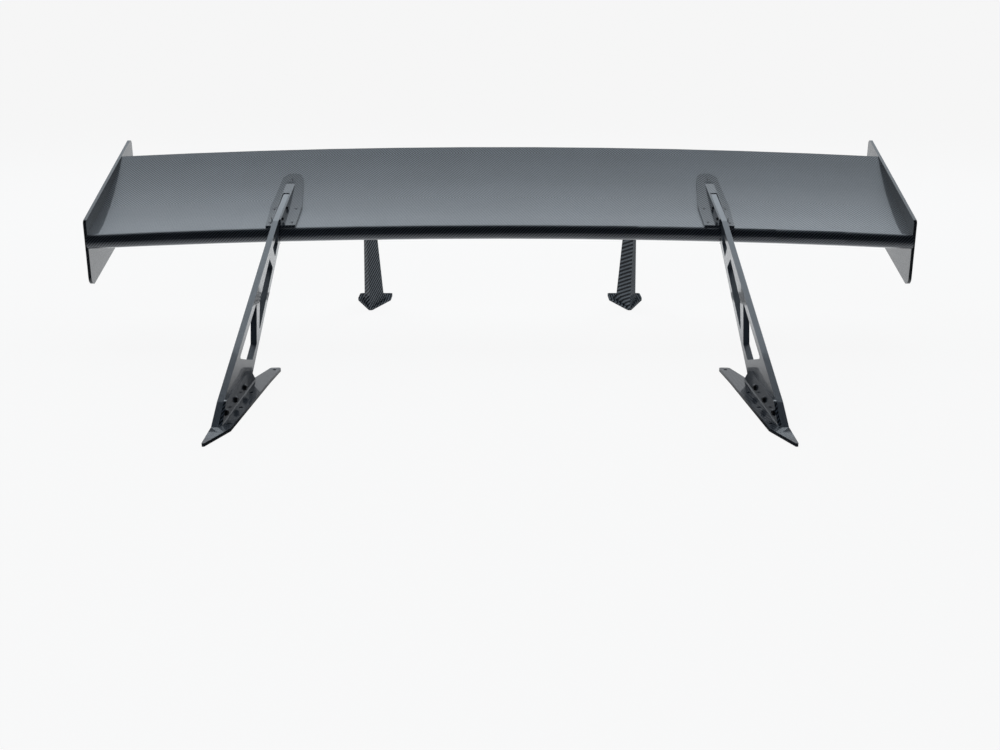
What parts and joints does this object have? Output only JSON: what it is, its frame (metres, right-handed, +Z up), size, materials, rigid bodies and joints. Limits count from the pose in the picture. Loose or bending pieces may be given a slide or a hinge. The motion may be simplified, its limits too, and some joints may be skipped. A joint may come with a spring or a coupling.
{
  "type": "racing rear wing",
  "caption": "Arched carbon rear wing with flat endplates, held from above by swan-neck arms on angle feet and from below by small hollow struts.",
  "frame": {"origin": "on the deck plane under the feet, in the middle of the wing's overall box", "axes": "+X along the span to the right in the picture, +Y from the leading to the trailing edge, +Z up from the deck"},
  "size_m": [1.6, 0.9268, 0.3447],
  "materials": {
    "wing_carbon": "twill carbon laminate under clear gloss lacquer",
    "plate_carbon": "twill carbon plate under clear gloss lacquer",
    "arm_carbon": "twill carbon plate with cut edges, clear gloss lacquer",
    "mount_carbon": "moulded twill carbon under clear gloss lacquer",
    "inner_carbon": "bare carbon laminate, hidden inside the wing",
    "aluminium": "machined blocks bonded inside the wing",
    "dark_steel": "black oxide screws, nuts, inserts and washers",
    "rubber": "thin moulded rubber"
  },
  "bodies": {
    "root": {"arm_left": "arm_carbon", "arm_right": "arm_carbon", "end_rib_left": "inner_carbon", "end_rib_right": "inner_carbon", "endplate_left": "plate_carbon", "endplate_right": "plate_carbon", "endplate_screws_left": "dark_steel", "endplate_screws_right": "dark_steel", "foot_bolts_left": "dark_steel", "foot_bolts_right": "dark_steel", "foot_bracket_left": "mount_carbon", "foot_bracket_right": "mount_carbon", "foot_gasket_left": "rubber", "foot_gasket_right": "rubber", "foot_inserts_left": "dark_steel", "foot_inserts_right": "dark_steel", "foot_washers_left": "dark_steel", "foot_washers_right": "dark_steel", "fork_bolts_left": "dark_steel", "fork_bolts_right": "dark_steel", "fork_nuts_left": "dark_steel", "fork_nuts_right": "dark_steel", "front_spar": "inner_carbon", "lower_skin": "wing_carbon", "mid_ribs": "inner_carbon", "mount_block_front_left": "aluminium", "mount_block_front_right": "aluminium", "mount_block_rear_left": "aluminium", "mount_block_rear_right": "aluminium", "rear_spar": "inner_carbon", "rear_strut_left": "mount_carbon", "rear_strut_right": "mount_carbon", "strut_block_left": "aluminium", "strut_block_right": "aluminium", "strut_gasket_left": "rubber", "strut_gasket_right": "rubber", "strut_screws_left": "dark_steel", "strut_screws_right": "dark_steel", "top_mount_left": "mount_carbon", "top_mount_right": "mount_carbon", "top_mount_screws_left": "dark_steel", "top_mount_screws_right": "dark_steel", "upper_skin": "wing_carbon"}
  },
  "joints": []
}
